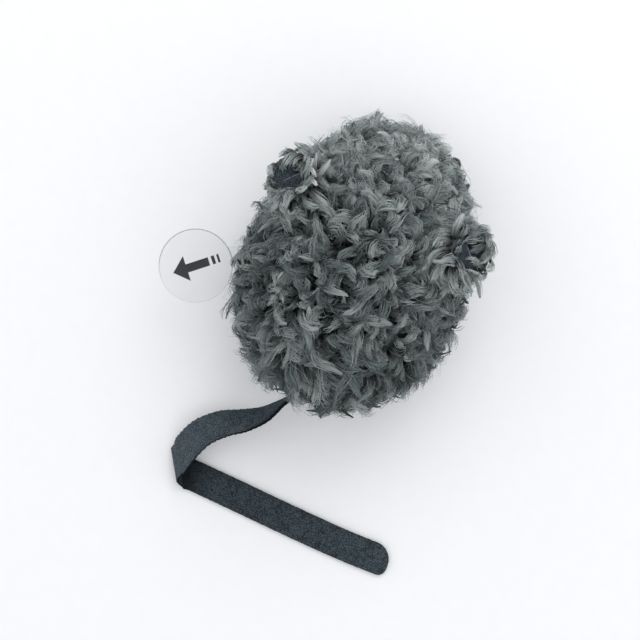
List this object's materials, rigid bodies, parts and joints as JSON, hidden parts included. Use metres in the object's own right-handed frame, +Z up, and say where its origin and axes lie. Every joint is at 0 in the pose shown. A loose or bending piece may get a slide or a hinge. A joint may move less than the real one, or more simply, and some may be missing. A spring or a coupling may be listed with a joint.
{
  "type": "catnip mouse",
  "caption": "Shaggy grey plush mouse for cats with suede tail and ear linings, catnip sachet inside and a chirping module armed by pulling out a clear film tab",
  "frame": {"origin": "middle of the flat that the belly rests on", "axes": "+Z up out of the back, +Y towards the nose, +X towards the mouse's right side"},
  "size_m": [0.107, 0.1396, 0.0575],
  "materials": {
    "plush": "long shaggy pile in wavy locks",
    "suede": "dark slate suede, matt nap",
    "fibre": "loose white polyester fibre",
    "muslin": "plain woven cotton",
    "film": "clear glossy film",
    "black_gloss": "polished black",
    "case_plastic": "moulded, fine spark texture",
    "board": "green solder mask",
    "steel": "nickel plated",
    "brass": "bare sheet brass",
    "ceramic": "fired, silvered",
    "wire_red": "insulated wire",
    "wire_black": "insulated wire"
  },
  "bodies": {
    "mouse": {"plush_left_panel": "plush", "plush_right_panel": "plush", "plush_belly_panel": "plush", "stuffing_upper": "fibre", "stuffing_lower": "fibre", "catnip_sachet": "muslin", "eye_left": "black_gloss", "eye_right": "black_gloss", "eye_left_washer": "case_plastic", "eye_right_washer": "case_plastic", "nose_button": "suede", "module_base": "case_plastic", "module_cover": "case_plastic", "circuit_board": "board", "sound_chip": "black_gloss", "contact_bus": "steel", "cover_screw_1": "steel", "cover_screw_2": "steel", "battery_cell_1": "steel", "battery_cell_2": "steel", "contact_leaf_1": "brass", "contact_leaf_2": "brass", "motion_switch_can": "steel", "motion_switch_plug": "case_plastic", "piezo_plate": "brass", "piezo_ceramic": "ceramic", "lead_red": "wire_red", "lead_black": "wire_black"},
    "tail": {"tail_strip": "suede"},
    "ear_left": {"ear_left_plush": "plush", "ear_left_lining": "suede"},
    "ear_right": {"ear_right_plush": "plush", "ear_right_lining": "suede"},
    "pull_tab": {"pull_tab": "film"},
    "motion_ball": {"motion_ball": "steel"}
  },
  "joints": [
    {"name": "tail_swing", "type": "hinge", "parent": "mouse", "child": "tail", "pos_m": [0, -0.0387, 0.0132], "axis": [0, 0, 1], "range_deg": [-40, 40], "stiffness_Nm_per_rad": 0.002},
    {"name": "ear_left_fold", "type": "hinge", "parent": "mouse", "child": "ear_left", "pos_m": [-0.0203, 0.0145, 0.0503], "axis": [0, 1, 0], "range_deg": [0, 35], "stiffness_Nm_per_rad": 0.005},
    {"name": "ear_right_fold", "type": "hinge", "parent": "mouse", "child": "ear_right", "pos_m": [0.0203, 0.0145, 0.0503], "axis": [0, -1, 0], "range_deg": [0, 35], "stiffness_Nm_per_rad": 0.005},
    {"name": "tab_pull", "type": "slide", "parent": "mouse", "child": "pull_tab", "axis": [-0.7466, -0.6652, 0], "range_m": [0, 0.05]},
    {"name": "ball_roll", "type": "slide", "parent": "mouse", "child": "motion_ball", "axis": [0.7466, 0.6652, 0], "range_m": [-0.0019, 0.0019]}
  ]
}
